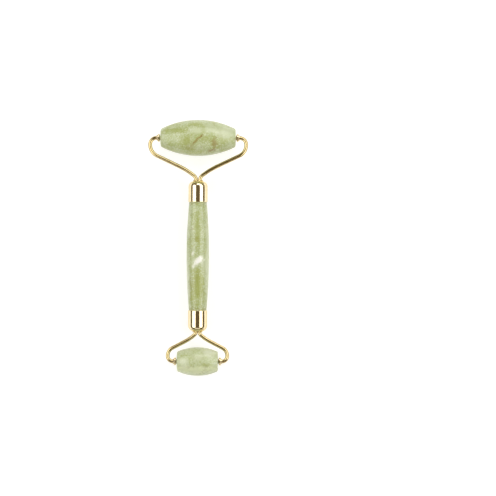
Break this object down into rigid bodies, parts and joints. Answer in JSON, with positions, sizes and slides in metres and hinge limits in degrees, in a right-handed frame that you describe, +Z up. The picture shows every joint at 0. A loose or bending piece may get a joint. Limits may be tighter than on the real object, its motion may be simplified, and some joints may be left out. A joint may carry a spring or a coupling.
{
  "type": "face roller",
  "caption": "Double-ended stone face roller: barrel stone grip with gold-plated ferrules and wire forks, a large and a small stone roller.",
  "frame": {"origin": "middle of the roller's overall length, on the grip's axis", "axes": "+Y along the grip towards the large roller, +X along the roller axles, +Z up as it lies on its two rollers"},
  "size_m": [0.0566, 0.1448, 0.0204],
  "materials": {
    "jade": "gloss",
    "pale_jade": "gloss",
    "gold_plate": "polished",
    "bare_brass": "satin",
    "nylon": "satin"
  },
  "bodies": {
    "frame": {"handle_stone": "jade", "large_ferrule": "gold_plate", "small_ferrule": "gold_plate", "large_anchor_post": "bare_brass", "small_anchor_post": "bare_brass", "large_neck_ring": "gold_plate", "small_neck_ring": "gold_plate", "large_arm_left": "gold_plate", "large_arm_right": "gold_plate", "small_arm_left": "gold_plate", "small_arm_right": "gold_plate", "large_collar_left": "gold_plate", "large_collar_right": "gold_plate", "small_collar_left": "gold_plate", "small_collar_right": "gold_plate"},
    "large_roller": {"large_roller_stone": "jade", "large_bushing_left": "nylon", "large_bushing_right": "nylon"},
    "small_roller": {"small_roller_stone": "pale_jade", "small_bushing_left": "nylon", "small_bushing_right": "nylon"}
  },
  "joints": [
    {"name": "large_roller_spin", "type": "hinge", "parent": "frame", "child": "large_roller", "pos_m": [0, 0.06222, 0], "axis": [1, 0, 0], "continuous": true},
    {"name": "small_roller_spin", "type": "hinge", "parent": "frame", "child": "small_roller", "pos_m": [0, -0.06432, 0], "axis": [1, 0, 0], "continuous": true}
  ]
}
